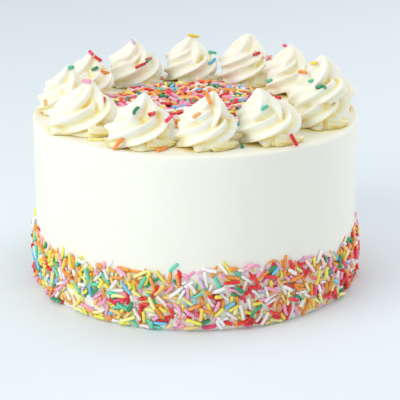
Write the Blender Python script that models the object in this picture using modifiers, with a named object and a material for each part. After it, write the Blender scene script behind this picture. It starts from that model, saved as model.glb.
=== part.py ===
"""Layer cake: a smooth frosted round, a ring of piped swirls, and sprinkles on its top and round its foot.

All sizes are in metres, +Z is up, and the origin is the middle of the cake's foot.
Each separate piece is one object: the frosted cake, every piped swirl, the heap of sprinkles
on the top, and the band of sprinkles pressed into the side.
"""

import math
from dataclasses import dataclass

import bmesh
import bpy
from mathutils import Vector

# The frosted cake.
CAKE_RADIUS = 0.106
CAKE_HEIGHT = 0.111
CAKE_EDGE_RADIUS = 0.0022
CAKE_EDGE_STEPS = 3
CAKE_STEPS = 72

# Clearance kept between pieces that touch.
GAP = 0.0003

# The piped swirls: a rope from a star-shaped tip, wound anticlockwise up to a point.
ROPE_RIDGES = 5
ROPE_RIDGE_PROFILE = (1.0, 0.88, 0.84, 0.88)
ROPE_HALF_HEIGHT = 0.0075
COIL_RISE = 0.0155
RIDGE_CLIMB = 0.022
COIL_GROOVE = 0.065
RINGS_PER_COIL = 6
SWIRL_FOOT_TUCK = 0.08
SWIRL_FOOT_HEIGHT = 0.05
SWIRL_TAPER = 0.9
SWIRL_START_STEP = 47.0

# The heap of sprinkles on the top.
HEAP_CENTRE = Vector((-0.04, 0.11, 0.0)) * CAKE_RADIUS
HEAP_RADIUS = 0.53 * CAKE_RADIUS
HEAP_HEIGHT = 0.0062
HEAP_EDGE_HEIGHT = 0.0026
HEAP_UNEVEN_OUTLINE = 0.13
HEAP_LUMPS = 0.0007
HEAP_STEPS = 48
HEAP_RINGS = 6
HEAP_CLEARANCE = 0.001

# The band of sprinkles round the foot.
BAND_HEIGHT = 0.0365
BAND_THICKNESS = 0.0030
BAND_TOP_THICKNESS = 0.0014
BAND_UNEVEN_TOP = 0.0040
BAND_UNEVEN_FACE = 0.0005
BAND_FOOT_INSET = 0.0006
BAND_STEPS = 84
BAND_SECTION_POINTS = 7


@dataclass(frozen=True)
class Swirl:
    """One piped swirl, placed by its bearing from the front and its distance from the cake's middle.

    The lean is how far its point stands outwards and sideways (anticlockwise) from its middle.
    """

    bearing: float
    distance: float
    radius: float
    height: float
    lean_out: float
    lean_along: float

    def centre(self):
        """The middle of the swirl's foot, on the cake's top."""
        angle = math.radians(self.bearing)
        return Vector((self.distance * math.sin(angle), -self.distance * math.cos(angle),
                       CAKE_HEIGHT + GAP))

    def lean(self):
        """How far the point stands from the middle, as a level vector."""
        angle = math.radians(self.bearing)
        outwards = Vector((math.sin(angle), -math.cos(angle), 0.0))
        along = Vector((math.cos(angle), math.sin(angle), 0.0))
        return outwards * self.lean_out + along * self.lean_along


# Piped by hand, so no two are quite alike. They run anticlockwise from the front left.
SWIRLS = (
    Swirl(-59.9, 0.0838, 0.0212, 0.0306, -0.0050, 0.0030),
    Swirl(-25.7, 0.0823, 0.0200, 0.0316, 0.0000, 0.0055),
    Swirl(3.0, 0.0795, 0.0186, 0.0333, 0.0000, 0.0064),
    Swirl(31.9, 0.0795, 0.0198, 0.0330, 0.0000, -0.0045),
    Swirl(66.7, 0.0834, 0.0196, 0.0448, 0.0030, 0.0000),
    Swirl(95.5, 0.0845, 0.0192, 0.0300, 0.0000, 0.0000),
    Swirl(127.0, 0.0815, 0.0190, 0.0322, 0.0000, 0.0015),
    Swirl(154.0, 0.0830, 0.0188, 0.0350, 0.0000, 0.0010),
    Swirl(182.0, 0.0842, 0.0190, 0.0318, 0.0000, 0.0030),
    Swirl(210.5, 0.0845, 0.0198, 0.0320, 0.0000, 0.0000),
    Swirl(241.0, 0.0845, 0.0192, 0.0300, -0.0033, -0.0018),
    Swirl(270.0, 0.0845, 0.0194, 0.0302, -0.0024, 0.0000),
)


def clear_scene():
    """Remove whatever the scene holds."""
    for item in list(bpy.data.objects):
        bpy.data.objects.remove(item)


def make_material(name, color, roughness, coat=0.0):
    """A Principled material of one colour."""
    material = bpy.data.materials.new(name)
    material.use_nodes = True
    shader = material.node_tree.nodes["Principled BSDF"]
    shader.inputs["Base Color"].default_value = (*color, 1.0)
    shader.inputs["Roughness"].default_value = roughness
    shader.inputs["Metallic"].default_value = 0.0
    shader.inputs["Coat Weight"].default_value = coat
    return material


def add_object(name, mesh, material, collection):
    """Put a mesh in the collection as an object with its own material."""
    piece = bpy.data.objects.new(name, mesh)
    piece.data.materials.append(material)
    collection.objects.link(piece)
    return piece


def ball_mesh(name, columns, rings, shape):
    """A ball whose points are moved to where shape(column, ring) says.

    Columns run anticlockwise. Ring 0 is the lowest point and ring rings + 1 the highest.
    """
    mesh = bpy.data.meshes.new(name)
    work = bmesh.new()
    bmesh.ops.create_uvsphere(work, u_segments=columns, v_segments=rings + 1, radius=1.0)
    for point in work.verts:
        angle = math.atan2(point.co.y, point.co.x) % (2.0 * math.pi)
        column = round(angle / (2.0 * math.pi) * columns) % columns
        ring = round((1.0 - math.acos(max(-1.0, min(1.0, point.co.z))) / math.pi) * (rings + 1))
        point.co = shape(column, ring)
    bmesh.ops.triangulate(work, faces=work.faces)
    bmesh.ops.recalc_face_normals(work, faces=work.faces)
    work.to_mesh(mesh)
    work.free()
    mesh.shade_smooth()
    return mesh


def uneven(angle, seed):
    """A smooth hand-made unevenness between about -1 and 1, the same after a full turn."""
    waves = ((3, 0.40), (5, 0.30), (8, 0.20), (13, 0.18))
    return sum(size * math.sin(count * angle + seed * (count + 1.7)) for count, size in waves)


def cake_profile():
    """Half of the cake's upright section, from the middle of the top down to the middle of the foot."""
    inner = CAKE_RADIUS - CAKE_EDGE_RADIUS
    lower = CAKE_HEIGHT - CAKE_EDGE_RADIUS
    points = [(0.0, CAKE_HEIGHT)]
    for step in range(CAKE_EDGE_STEPS + 1):
        angle = math.pi / 2.0 * (1.0 - step / CAKE_EDGE_STEPS)
        points.append((inner + CAKE_EDGE_RADIUS * math.cos(angle),
                       lower + CAKE_EDGE_RADIUS * math.sin(angle)))
    points += [(CAKE_RADIUS, 0.0), (0.0, 0.0)]
    return points


def build_cake(material, collection):
    """The frosted cake: its section turned about the upright axis."""
    points = [(x, 0.0, z) for x, z in cake_profile()]
    edges = [(index, index + 1) for index in range(len(points) - 1)]
    mesh = bpy.data.meshes.new("cake_body")
    mesh.from_pydata(points, edges, [])
    cake = add_object("cake_body", mesh, material, collection)
    turn = cake.modifiers.new("turned", "SCREW")
    turn.axis = "Z"
    turn.angle = 2.0 * math.pi
    turn.steps = CAKE_STEPS
    turn.render_steps = CAKE_STEPS
    turn.use_merge_vertices = True
    turn.merge_threshold = 0.00001
    turn.use_smooth_shade = True
    return cake


def swirl_shape(swirl, rings, start_angle):
    """The rule for one swirl's points: a pointed dome with a wound groove and climbing ridges.

    A ridge climbs as it goes round, by RIDGE_CLIMB in half a turn.
    """
    points_per_ridge = len(ROPE_RIDGE_PROFILE)
    columns = ROPE_RIDGES * points_per_ridge
    foot = swirl.centre()
    lean = swirl.lean()

    def place(column, ring):
        if ring == 0:
            return foot
        share = (ring - 1) / rings
        height = swirl.height * share
        turned = 2.0 * math.pi * column / columns + math.pi * height / RIDGE_CLIMB
        dome = math.cos(math.pi / 2.0 * share) ** SWIRL_TAPER if ring <= rings else 0.0
        tuck = 1.0 - SWIRL_FOOT_TUCK * math.exp(-share / SWIRL_FOOT_HEIGHT)
        winding = 2.0 * math.pi * (height - ROPE_HALF_HEIGHT) / COIL_RISE - turned
        coil = 1.0 - COIL_GROOVE * (1.0 - math.cos(winding)) * min(1.0, 4.0 * share)
        radius = swirl.radius * dome * tuck * coil * ROPE_RIDGE_PROFILE[column % points_per_ridge]
        angle = start_angle + turned
        level = Vector((radius * math.cos(angle), radius * math.sin(angle), height))
        return foot + level + lean * share ** 2

    return place


def build_swirls(material, collection):
    """Every piped swirl, each its own piece."""
    columns = ROPE_RIDGES * len(ROPE_RIDGE_PROFILE)
    for number, swirl in enumerate(SWIRLS, start=1):
        name = f"rosette_{number:02d}"
        rings = round(RINGS_PER_COIL * swirl.height / COIL_RISE)
        start_angle = math.radians(swirl.bearing + SWIRL_START_STEP * number)
        mesh = ball_mesh(name, columns, rings, swirl_shape(swirl, rings, start_angle))
        add_object(name, mesh, material, collection)


def clear_reach(angle):
    """How far the heap may reach from its centre at an angle before it comes to a swirl."""
    direction = Vector((math.cos(angle), math.sin(angle)))
    reach = CAKE_RADIUS
    for swirl in SWIRLS:
        offset = (swirl.centre() - HEAP_CENTRE).xy
        keep_off = swirl.radius + HEAP_CLEARANCE
        forwards = offset.dot(direction)
        sideways = abs(offset.cross(direction))
        if forwards > 0.0 and sideways < keep_off:
            reach = min(reach, forwards - math.sqrt(keep_off ** 2 - sideways ** 2))
    return reach


def heap_shape(column, ring):
    """The rule for the heap's points: a low mound with an uneven outline and top."""
    floor = HEAP_CENTRE + Vector((0.0, 0.0, CAKE_HEIGHT + GAP))
    angle = 2.0 * math.pi * column / HEAP_STEPS
    outline = min(clear_reach(angle), HEAP_RADIUS * (1.0 + HEAP_UNEVEN_OUTLINE * uneven(angle, 2.3)))
    if ring == 0:
        return floor
    if ring == 1:
        return floor + Vector((math.cos(angle), math.sin(angle), 0.0)) * outline
    share = (ring - 2) / (HEAP_RINGS - 1)
    radius = outline * (0.97 - 0.97 * share)
    mound = HEAP_EDGE_HEIGHT + (HEAP_HEIGHT - HEAP_EDGE_HEIGHT) * math.sin(math.pi / 2.0 * share)
    lumps = HEAP_LUMPS * uneven(angle + 2.1 * share, 5.1) * (1.0 - share)
    return floor + Vector((math.cos(angle) * radius, math.sin(angle) * radius, mound + lumps))


def band_section(angle):
    """The band's section at an angle, as distances from the axis and heights, outer face first."""
    inner = CAKE_RADIUS + GAP
    outer = inner + BAND_THICKNESS + BAND_UNEVEN_FACE * uneven(2.0 * angle, 1.1)
    shoulder = inner + BAND_TOP_THICKNESS
    top = BAND_HEIGHT + BAND_UNEVEN_TOP * uneven(angle, 3.9)
    return (
        (outer - BAND_FOOT_INSET, GAP),
        (outer, 0.25 * top),
        (outer, 0.60 * top),
        (0.5 * (outer + shoulder), 0.88 * top),
        (shoulder, top),
        (inner, top),
        (inner, GAP),
    )


def build_band(material, collection):
    """The band of sprinkles: a ring lying against the side, higher in some places than others."""
    bpy.ops.mesh.primitive_torus_add(
        major_segments=BAND_STEPS, minor_segments=BAND_SECTION_POINTS,
        major_radius=1.0, minor_radius=0.25)
    band = bpy.context.active_object
    for point in band.data.vertices:
        around = math.atan2(point.co.y, point.co.x)
        across = math.atan2(point.co.z, math.hypot(point.co.x, point.co.y) - 1.0)
        index = round(across / (2.0 * math.pi) * BAND_SECTION_POINTS) % BAND_SECTION_POINTS
        distance, height = band_section(around)[index]
        point.co = (distance * math.cos(around), distance * math.sin(around), height)
    mesh = band.data
    bpy.data.objects.remove(band)
    mesh.name = "sprinkle_band"
    mesh.materials.clear()
    mesh.shade_smooth()
    add_object("sprinkle_band", mesh, material, collection)


def main():
    """Build every piece in a collection named for the object."""
    clear_scene()
    collection = bpy.data.collections.new("layer_cake")
    bpy.context.scene.collection.children.link(collection)
    frosting = make_material("smooth_frosting", (0.92, 0.90, 0.82), 0.45)
    piped = make_material("piped_frosting", (0.94, 0.91, 0.80), 0.40)
    heaped = make_material("heaped_sprinkles", (0.85, 0.35, 0.28), 0.35, coat=0.3)
    pressed = make_material("pressed_sprinkles", (0.90, 0.55, 0.25), 0.35, coat=0.3)
    build_cake(frosting, collection)
    build_swirls(piped, collection)
    heap = ball_mesh("sprinkle_heap", HEAP_STEPS, HEAP_RINGS, heap_shape)
    add_object("sprinkle_heap", heap, heaped, collection)
    build_band(pressed, collection)


if __name__ == "__main__":
    main()
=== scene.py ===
"""The looks of a layer cake: smooth cream frosting, a ring of piped swirls, and sugar strands.

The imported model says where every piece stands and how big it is. This script models each piece
again in full: the frosted round, each swirl as a rope from a star tip, and every sugar strand of
the heap and the band as its own small stick. All sizes are in metres and +Z is up.
"""

import logging
import math
import random
from dataclasses import dataclass, field
from enum import Enum
from typing import Any, Callable, Sequence

import bmesh
import bpy
import numpy as np
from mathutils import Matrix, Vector, noise


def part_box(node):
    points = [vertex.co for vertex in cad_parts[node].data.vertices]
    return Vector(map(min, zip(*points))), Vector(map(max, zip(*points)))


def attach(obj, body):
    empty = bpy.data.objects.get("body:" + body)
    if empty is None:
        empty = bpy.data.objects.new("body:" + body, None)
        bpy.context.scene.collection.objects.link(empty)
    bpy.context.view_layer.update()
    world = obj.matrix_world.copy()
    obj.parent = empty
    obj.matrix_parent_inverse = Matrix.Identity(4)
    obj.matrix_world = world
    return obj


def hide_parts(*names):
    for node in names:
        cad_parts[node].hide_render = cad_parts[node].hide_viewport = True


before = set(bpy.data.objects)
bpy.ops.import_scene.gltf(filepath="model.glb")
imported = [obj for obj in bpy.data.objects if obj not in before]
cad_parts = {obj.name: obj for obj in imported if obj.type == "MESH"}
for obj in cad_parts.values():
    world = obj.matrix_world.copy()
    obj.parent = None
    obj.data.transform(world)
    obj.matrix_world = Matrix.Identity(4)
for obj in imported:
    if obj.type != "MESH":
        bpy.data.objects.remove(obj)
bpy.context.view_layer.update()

LOG = logging.getLogger("layer_cake")
BODY = "root"
MM = 0.001
LEVEL_FOOT = 0.0002
TAU = 2.0 * math.pi
Triple = tuple[float, float, float]
Color = Triple


def screen_color(red: int, green: int, blue: int) -> Color:
    """A colour given as on a screen, from 0 to 255, as the linear light that shaders use.

    Args:
        red: Red, 0 to 255.
        green: Green, 0 to 255.
        blue: Blue, 0 to 255.

    Returns:
        The colour as three linear values.
    """
    def linear(value: int) -> float:
        """One channel as linear light."""
        share = value / 255.0
        return share / 12.92 if share <= 0.04045 else ((share + 0.055) / 1.055) ** 2.4

    return linear(red), linear(green), linear(blue)


# ---------------------------------------------------------------------------------- shader helpers


class Number:
    """A number that a shader works out, used with the ordinary operators."""

    def __init__(self, board: "Board", socket: bpy.types.NodeSocket) -> None:
        """Hold one output socket of a board."""
        self.board = board
        self.socket = socket

    def _join(self, operation: str, first: Any, second: Any) -> "Number":
        """One Math node between two values, either of which may be a plain number."""
        node = self.board.add("ShaderNodeMath", {"operation": operation}, {0: first, 1: second})
        return Number(self.board, node.outputs[0])

    def __add__(self, other: Any) -> "Number":
        """self + other."""
        return self._join("ADD", self, other)

    def __radd__(self, other: Any) -> "Number":
        """other + self."""
        return self._join("ADD", other, self)

    def __sub__(self, other: Any) -> "Number":
        """self - other."""
        return self._join("SUBTRACT", self, other)

    def __rsub__(self, other: Any) -> "Number":
        """other - self."""
        return self._join("SUBTRACT", other, self)

    def __mul__(self, other: Any) -> "Number":
        """self * other."""
        return self._join("MULTIPLY", self, other)

    def __rmul__(self, other: Any) -> "Number":
        """other * self."""
        return self._join("MULTIPLY", other, self)

    def clamped(self) -> "Number":
        """The value held between 0 and 1."""
        node = self.board.add("ShaderNodeClamp", {}, {"Value": self})
        return Number(self.board, node.outputs[0])


class Board:
    """The node board of one material, with a Principled shader already on it."""

    def __init__(self, name: str) -> None:
        """Start a material.

        Args:
            name: The material's name.
        """
        self.material = bpy.data.materials.new(name)
        self.material.use_nodes = True
        self.tree = self.material.node_tree
        self.shader = self.tree.nodes["Principled BSDF"]

    def add(self, kind: str, settings: dict[str, Any], sockets: dict[Any, Any]) -> bpy.types.Node:
        """Add a node, choose its settings, and fill its sockets with values or links.

        Args:
            kind: The node's type, such as ShaderNodeMath.
            settings: Its settings by name, which are set first.
            sockets: Its inputs by name or number.

        Returns:
            The new node.
        """
        node = self.tree.nodes.new(kind)
        for key, value in settings.items():
            setattr(node, key, value)
        for key, value in sockets.items():
            self.feed(node.inputs[key], value)
        return node

    def feed(self, socket: bpy.types.NodeSocket, value: Any) -> None:
        """Put a plain value on a socket, or link another node's output to it.

        Args:
            socket: The input.
            value: What it gets.
        """
        if isinstance(value, Number):
            self.tree.links.new(value.socket, socket)
        elif isinstance(value, bpy.types.NodeSocket):
            self.tree.links.new(value, socket)
        else:
            socket.default_value = value

    def set(self, **values: Any) -> None:
        """Fill sockets of the Principled shader, named with underscores for spaces."""
        for key, value in values.items():
            self.feed(self.shader.inputs[key.replace("_", " ")], value)

    def place(self, stretch: Triple) -> bpy.types.NodeSocket:
        """The spot on the piece in metres, stretched along each axis.

        Args:
            stretch: How many times closer the pattern is along X, Y and Z.

        Returns:
            A vector socket.
        """
        spot = self.add("ShaderNodeTexCoord", {}, {}).outputs["Object"]
        return self.add("ShaderNodeMapping", {}, {"Vector": spot, "Scale": stretch}).outputs[0]

    def grain(self, size: float, detail: float = 2.0,
              stretch: Triple = (1.0, 1.0, 1.0)) -> Number:
        """Soft random unevenness between 0 and 1.

        Args:
            size: About how wide its patches are, in metres.
            detail: How many finer layers it has.
            stretch: How much closer it is along each axis.

        Returns:
            The value.
        """
        node = self.add("ShaderNodeTexNoise", {}, {
            "Vector": self.place(stretch), "Scale": 1.0 / size, "Detail": detail})
        return Number(self, node.outputs[0])

    def stored(self, name: str) -> bpy.types.Node:
        """The node that reads something stored on the piece's points."""
        return self.add("ShaderNodeAttribute", {"attribute_name": name}, {})

    def ramp(self, value: Number, low: float, high: float) -> Number:
        """A value that goes smoothly from 0 at low to 1 at high.

        Args:
            value: The value.
            low: Where it is 0.
            high: Where it is 1.

        Returns:
            The new value.
        """
        node = self.add("ShaderNodeMapRange", {"interpolation_type": "SMOOTHSTEP"}, {
            "Value": value, "From Min": low, "From Max": high})
        return Number(self, node.outputs[0])

    def mix(self, factor: Any, first: Any, second: Any, blend: str = "MIX") -> bpy.types.NodeSocket:
        """A mix of two colours.

        Args:
            factor: How much of the second, from 0 to 1.
            first: The first colour.
            second: The second colour.
            blend: How they are mixed.

        Returns:
            A colour socket.
        """
        node = self.add("ShaderNodeMix", {"data_type": "RGBA", "blend_type": blend}, {})
        for socket, value in ((node.inputs[0], factor), (node.inputs[6], first),
                              (node.inputs[7], second)):
            self.feed(socket, (*value, 1.0) if isinstance(value, tuple) else value)
        return node.outputs[2]

    def bump(self, *layers: tuple[Number, float]) -> None:
        """Feed the shader's normal with bumps on bumps.

        Args:
            layers: Each a height from 0 to 1 and its depth in metres.
        """
        normal = None
        for height, depth in layers:
            sockets = {"Height": height, "Distance": depth, "Strength": 1.0}
            if normal is not None:
                sockets["Normal"] = normal
            normal = self.add("ShaderNodeBump", {}, sockets).outputs[0]
        self.set(Normal=normal)


# ---------------------------------------------------------------------------------------- finishes


@dataclass(frozen=True)
class Buttercream:
    """Cream-white frosting with a faint satin, and painted shade: tinted yellow where it lies in a
    hollow.
    """

    name: str
    cream: Color
    # The next two colours are painted shade, for shallow and for deep hollows.
    shade_tint: Color
    deep: Color
    patch: Color
    gloss: float = 0.46
    mottle_size: float = 0.016
    pore_size: float = 0.0011
    streak_size: float = 0.0035
    streak_depth: float = 0.00004
    pore_depth: float = 0.00003
    glow: float = 0.30
    glow_reach: float = 0.0045

    def material(self) -> bpy.types.Material:
        """Mix the frosting.

        Returns:
            The material.
        """
        board = Board(self.name)
        # The stored hollow value says how much painted shade each point gets.
        hollow = Number(board, board.stored("hollow").outputs["Fac"])
        mottle = board.grain(self.mottle_size, 3.0)
        fine = board.grain(self.pore_size, 3.0)
        streak = board.grain(self.streak_size, stretch=(1.0, 1.0, 0.05))
        skin = board.mix(board.ramp(mottle, 0.42, 0.68) * 0.5, self.cream, self.patch)
        # Painted shade: the skin turns yellow in shallow hollows and ochre in deep ones, standing
        # in for shade and light scattered in the cream.
        shaded_skin = board.mix(board.ramp(hollow, 0.03, 0.50), skin, self.shade_tint)
        deeply_shaded = board.mix(board.ramp(hollow, 0.40, 0.90), shaded_skin, self.deep)
        board.set(
            Base_Color=deeply_shaded,
            Roughness=(self.gloss + 0.16 * (fine - 0.5) + 0.10 * (mottle - 0.5)).clamped(),
            Subsurface_Weight=self.glow,
            Subsurface_Radius=(1.0, 0.72, 0.36),
            Subsurface_Scale=self.glow_reach,
            Specular_IOR_Level=0.42,
        )
        board.bump((streak, self.streak_depth), (fine, self.pore_depth))
        return board.material


@dataclass(frozen=True)
class Sugar:
    """Coloured sugar strands: each strand's own colour, with a dull sheen and a grainy skin."""

    name: str
    gloss: float = 0.31
    speck_size: float = 0.0006
    cloud_size: float = 0.0028
    grain_depth: float = 0.00004
    glow: float = 0.55
    glow_reach: float = 0.0022

    def material(self) -> bpy.types.Material:
        """Mix the sugar.

        Returns:
            The material.
        """
        board = Board(self.name)
        tint = board.stored("tint").outputs["Color"]
        speck = board.grain(self.speck_size)
        cloud = board.grain(self.cloud_size)
        paler = board.mix(board.ramp(cloud, 0.45, 0.80) * 0.18, tint, (1.0, 0.97, 0.92))
        colour = board.mix(board.ramp(speck, 0.30, 0.62) * 0.08, paler, tint, blend="MULTIPLY")
        board.set(
            Base_Color=colour,
            Roughness=(self.gloss + 0.22 * (speck - 0.5)).clamped(),
            Subsurface_Weight=self.glow,
            Subsurface_Radius=(1.0, 0.85, 0.75),
            Subsurface_Scale=self.glow_reach,
            Specular_IOR_Level=0.62,
        )
        board.bump((speck, self.grain_depth))
        return board.material


@dataclass(frozen=True)
class PaleFloor:
    """A plain matt pale floor."""

    name: str
    color: Color

    def material(self) -> bpy.types.Material:
        """Paint the floor.

        Returns:
            The material.
        """
        board = Board(self.name)
        shade = board.grain(0.5)
        tone = board.mix(shade * 0.08, self.color, tuple(0.94 * part for part in self.color))
        board.set(Base_Color=tone, Roughness=0.65)
        return board.material


# In each frosting the second and third colours are painted shade, for shallow and for deep hollows.
SMOOTH_FROSTING = Buttercream(
    "smooth_frosting", cream=(0.930, 0.922, 0.838), shade_tint=(0.94, 0.90, 0.66),
    deep=(0.92, 0.79, 0.40), patch=(0.915, 0.912, 0.818), glow=0.15)
PIPED_FROSTING = Buttercream(
    "piped_frosting", cream=(0.940, 0.930, 0.840), shade_tint=(0.94, 0.85, 0.46),
    deep=(0.93, 0.70, 0.20), patch=(0.930, 0.915, 0.790), streak_depth=0.00002,
    pore_depth=0.00006)
STRAND_SUGAR = Sugar("strand_sugar")
FLOOR_PAINT = PaleFloor("floor_paint", screen_color(232, 242, 250))


# ------------------------------------------------------------------------------- modelling helpers


def deselect() -> None:
    """Leave nothing selected, in object mode."""
    if bpy.context.object is not None and bpy.context.object.mode != "OBJECT":
        bpy.ops.object.mode_set(mode="OBJECT")
    bpy.ops.object.select_all(action="DESELECT")


def take(piece: bpy.types.Object) -> None:
    """Select one object and make it the active one.

    Args:
        piece: The object.
    """
    deselect()
    piece.select_set(True)
    bpy.context.view_layer.objects.active = piece


def shown(name: str, data: bpy.types.ID) -> bpy.types.Object:
    """A new object in the scene for a mesh, a curve, a light or a camera.

    Args:
        name: The object's name.
        data: What it shows.

    Returns:
        The object.
    """
    piece = bpy.data.objects.new(name, data)
    bpy.context.scene.collection.objects.link(piece)
    return piece


def settle(piece: bpy.types.Object) -> None:
    """Put a piece's place, turn and size into its mesh, so that its object is at the origin."""
    take(piece)
    bpy.ops.object.transform_apply(location=True, rotation=True, scale=True)


def pick(piece: bpy.types.Object, kind: str, wanted: Callable[[Any], bool]) -> None:
    """In edit mode, select the points, edges or faces that a test wants, and nothing else.

    Args:
        piece: The object in edit mode.
        kind: VERT, EDGE or FACE.
        wanted: The test.
    """
    bpy.ops.mesh.select_mode(type=kind)
    bpy.ops.mesh.select_all(action="DESELECT")
    work = bmesh.from_edit_mesh(piece.data)
    group = {"VERT": work.verts, "EDGE": work.edges, "FACE": work.faces}[kind]
    for item in group:
        item.select_set(wanted(item))
    work.select_flush_mode()
    bmesh.update_edit_mesh(piece.data)


def apply_modifier(piece: bpy.types.Object, kind: str, **settings: Any) -> None:
    """Add a modifier, set it up and apply it at once.

    Args:
        piece: The object.
        kind: The modifier's type, such as REMESH.
        settings: The modifier's settings by name.
    """
    take(piece)
    modifier = piece.modifiers.new(kind.lower(), kind)
    for key, value in settings.items():
        setattr(modifier, key, value)
    bpy.ops.object.modifier_apply(modifier=modifier.name)


def points_of(mesh: bpy.types.Mesh) -> np.ndarray:
    """A mesh's points, one row each.

    Args:
        mesh: The mesh.

    Returns:
        The points.
    """
    flat = np.empty(len(mesh.vertices) * 3, np.float32)
    mesh.vertices.foreach_get("co", flat)
    return flat.reshape(-1, 3).astype(float)


def normals_of(mesh: bpy.types.Mesh) -> np.ndarray:
    """Which way a mesh's skin faces at each point, one row each.

    Args:
        mesh: The mesh.

    Returns:
        The directions.
    """
    flat = np.empty(len(mesh.vertices) * 3, np.float32)
    mesh.vertices.foreach_get("normal", flat)
    return flat.reshape(-1, 3)


def move_points(mesh: bpy.types.Mesh, points: np.ndarray) -> None:
    """Put a mesh's points where the rows say."""
    mesh.vertices.foreach_set("co", points.astype(np.float32).ravel())
    mesh.update()


def store_number(mesh: bpy.types.Mesh, name: str, values: np.ndarray) -> None:
    """Store one number on each point of a mesh, for its finish to read."""
    layer = mesh.attributes.new(name, "FLOAT", "POINT")
    layer.data.foreach_set("value", values.astype(np.float32))


def relaxed(mesh: bpy.types.Mesh, rounds: int) -> np.ndarray:
    """Where a mesh's points come to lie when each is drawn to its neighbours many times over.

    Args:
        mesh: The mesh, which stays as it is.
        rounds: How many times over.

    Returns:
        The points, one row each.
    """
    now = points_of(mesh)
    edges = np.empty(len(mesh.edges) * 2, np.int32)
    mesh.edges.foreach_get("vertices", edges)
    one, other = edges[0::2], edges[1::2]
    count = len(now)
    ties = np.maximum(np.bincount(one, minlength=count) + np.bincount(other, minlength=count), 1)
    for _ in range(rounds):
        for axis in range(3):
            total = np.bincount(one, now[other, axis], count)
            total += np.bincount(other, now[one, axis], count)
            now[:, axis] = 0.5 * now[:, axis] + 0.5 * total / ties
    return now


def hollow_share(mesh: bpy.types.Mesh, rounds: int, reach: float) -> np.ndarray:
    """How deep each point lies in a hollow, from 0 on open skin to about 1 in a deep groove.

    The mesh is relaxed, and a point in a hollow is one that rises by it.

    Args:
        mesh: The mesh to read.
        rounds: How many times it is relaxed. More rounds find wider hollows.
        reach: The rise that counts as 1, in metres.

    Returns:
        One value for each point.
    """
    rise = ((relaxed(mesh, rounds) - points_of(mesh)) * normals_of(mesh)).sum(axis=1)
    return np.clip(rise / reach, 0.0, 1.2)


def finish_piece(piece: bpy.types.Object, name: str, material: bpy.types.Material,
                 replaced: Sequence[str] = ()) -> bpy.types.Object:
    """Name a finished piece, dress it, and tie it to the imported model.

    Args:
        piece: The object.
        name: Its name.
        material: Its material.
        replaced: The plain solids that it stands for.

    Returns:
        The same object.
    """
    settle(piece)
    piece.name = name
    piece.data.name = name
    piece.data.materials.clear()
    piece.data.materials.append(material)
    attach(piece, BODY)
    if replaced:
        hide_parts(*replaced)
    LOG.info("%s: %d faces", name, len(piece.data.polygons))
    return piece


def fading(values: np.ndarray) -> np.ndarray:
    """A slope of values, held at 0 and at 1 where it passes them."""
    return np.clip(values, 0.0, 1.0)


def level_way(angle: float) -> Vector:
    """The level direction at an angle from +X, in radians."""
    return Vector((math.cos(angle), math.sin(angle), 0.0))


def soft_noise(points: np.ndarray, size: float, seed: float) -> np.ndarray:
    """Smooth random values between about -1 and 1 at each point.

    Args:
        points: The points, one row each.
        size: How wide the patches are, in metres.
        seed: Which of the endless patterns.

    Returns:
        One value for each point.
    """
    shift = Vector((seed * 7.31, seed * 3.17, seed * 5.77))
    return np.array([noise.noise(Vector(point) / size + shift) for point in points])


# ------------------------------------------------------------------------------ the frosted round


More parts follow.
